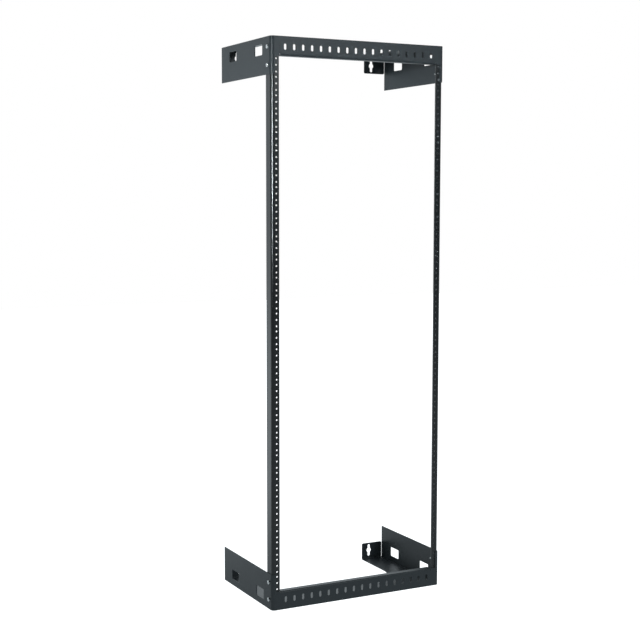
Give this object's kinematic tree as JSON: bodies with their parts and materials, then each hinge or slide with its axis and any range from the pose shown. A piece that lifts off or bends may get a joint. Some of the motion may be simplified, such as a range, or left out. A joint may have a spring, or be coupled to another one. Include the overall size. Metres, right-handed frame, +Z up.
{
  "type": "wall-mount open frame rack",
  "caption": "Tall open frame rack for a wall: punched rack rails held between folded top and bottom brackets, whose arms reach back to keyholed wall tabs.",
  "frame": {"origin": "centre of the upper left keyhole, on the wall plane that the wall tabs rest against", "axes": "+X to the right as seen from the front, +Y into the wall, +Z up"},
  "size_m": [0.4953, 0.3048, 1.4287],
  "materials": {
    "bracket_coat": "satin",
    "rail_coat": "satin",
    "zinc_plate": "satin"
  },
  "bodies": {
    "root": {"top_left_arm": "bracket_coat", "top_right_arm": "bracket_coat", "top_front_band": "bracket_coat", "top_web_plate": "bracket_coat", "bottom_left_arm": "bracket_coat", "bottom_right_arm": "bracket_coat", "bottom_front_band": "bracket_coat", "bottom_web_plate": "bracket_coat", "left_rail": "rail_coat", "right_rail": "rail_coat"}
  },
  "joints": []
}
